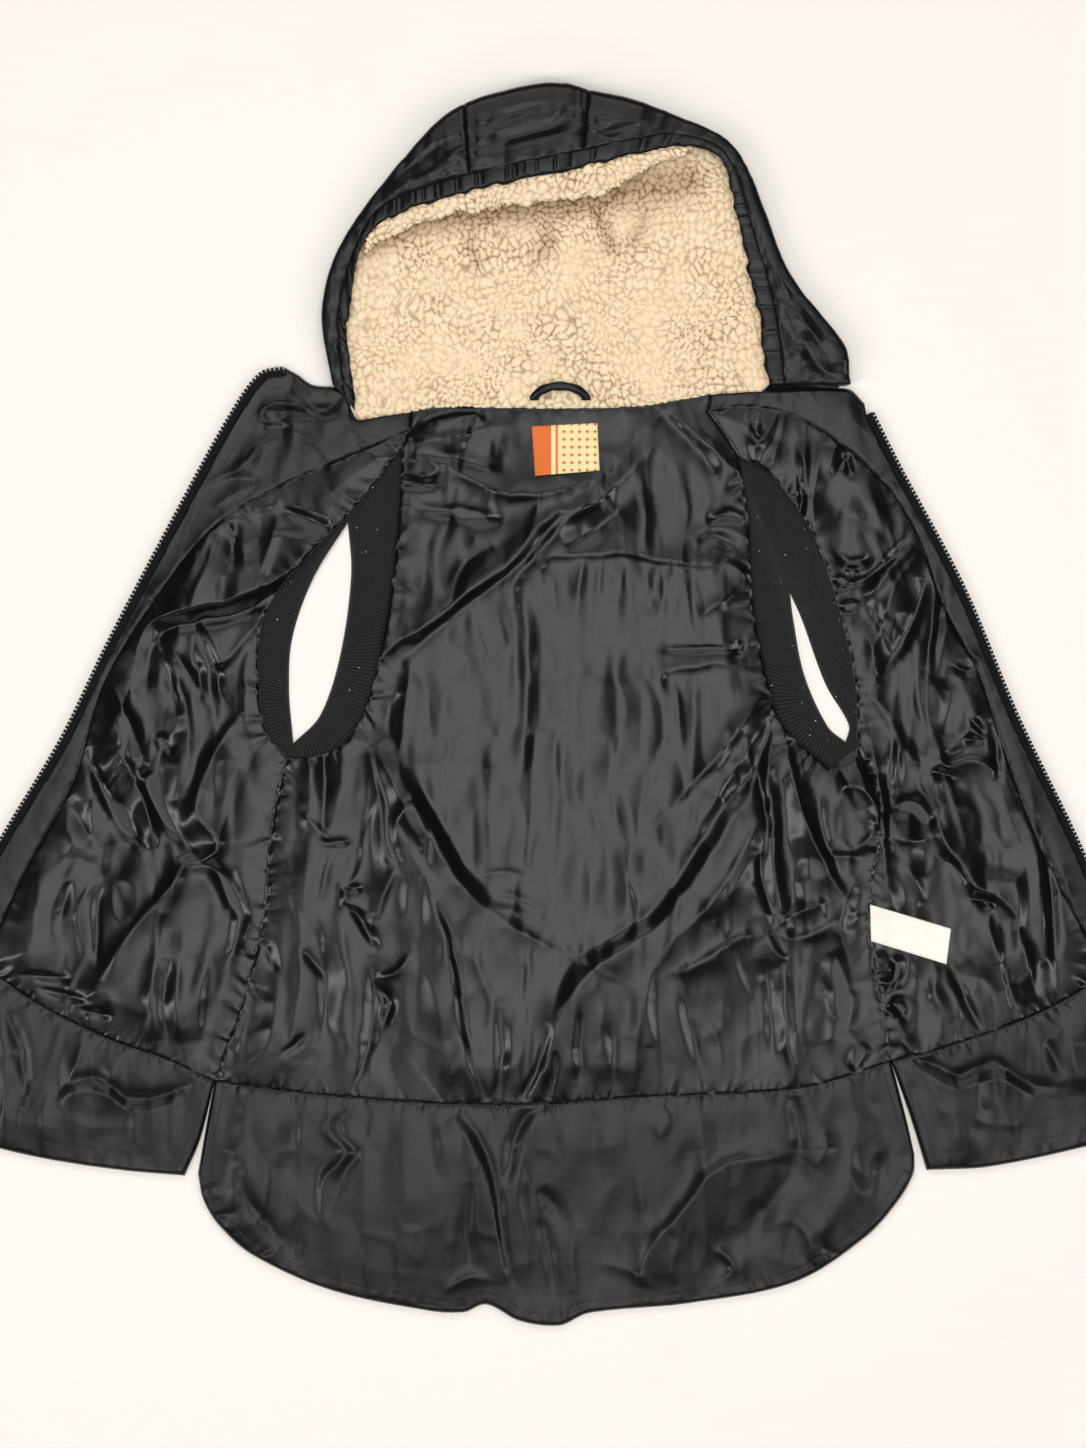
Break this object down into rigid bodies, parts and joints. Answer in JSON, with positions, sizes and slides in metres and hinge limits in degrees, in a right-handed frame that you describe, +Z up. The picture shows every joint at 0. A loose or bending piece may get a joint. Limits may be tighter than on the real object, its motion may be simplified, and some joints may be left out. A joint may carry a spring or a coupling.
{
  "type": "hooded padded vest",
  "caption": "Hooded padded vest with a dropped rounded tail, pile-lined hood, rib-banded armholes and a moulded zip, laid open flat with its satin lining up.",
  "frame": {"origin": "middle of the laid-out garment's outline, on the surface it lies on", "axes": "+X towards the wearer's left front, +Y towards the hood, +Z up out of the surface, the lining facing up"},
  "size_m": [1.1342, 1.1138, 0.04],
  "materials": {
    "shell": "matte satin weave, padded",
    "lining": "glossy satin",
    "facing": "matte satin weave",
    "rib": "rib knit",
    "pile": "curly pile",
    "tape": "woven tape",
    "zip": "moulded",
    "slider": "black enamel on die-cast metal",
    "neck_label": "woven label",
    "care_label": "coated ribbon"
  },
  "bodies": {
    "vest": {"shell_back": "shell", "shell_front_right": "shell", "shell_front_left": "shell", "lining_back": "lining", "lining_front_right": "lining", "lining_front_left": "lining", "facing_front_right": "facing", "facing_front_left": "facing", "facing_hem_back": "facing", "facing_hem_right": "facing", "facing_hem_left": "facing", "rib_front_right": "rib", "rib_back_right": "rib", "rib_front_left": "rib", "rib_back_left": "rib", "neck_label": "neck_label", "care_label": "care_label", "hood_side_right": "shell", "hood_centre_strip": "shell", "hood_side_left": "shell", "hood_rim_casing": "shell", "hood_lining_crown": "pile", "hood_lining_back": "pile", "hanger_loop": "facing", "zip_chain_right": "zip", "zip_tape_right": "tape", "zip_chain_left": "zip", "zip_tape_left": "tape", "zip_box_left": "zip", "zip_pin_right": "zip", "zip_slider": "slider"},
    "tab": {"pull_tab": "slider"}
  },
  "joints": [
    {"name": "pull_tab_hinge", "type": "hinge", "parent": "vest", "child": "tab", "pos_m": [0.55795, -0.34402, 0.00248], "axis": [0.9677, 0.2521, 0], "range_deg": [0, 170]}
  ]
}
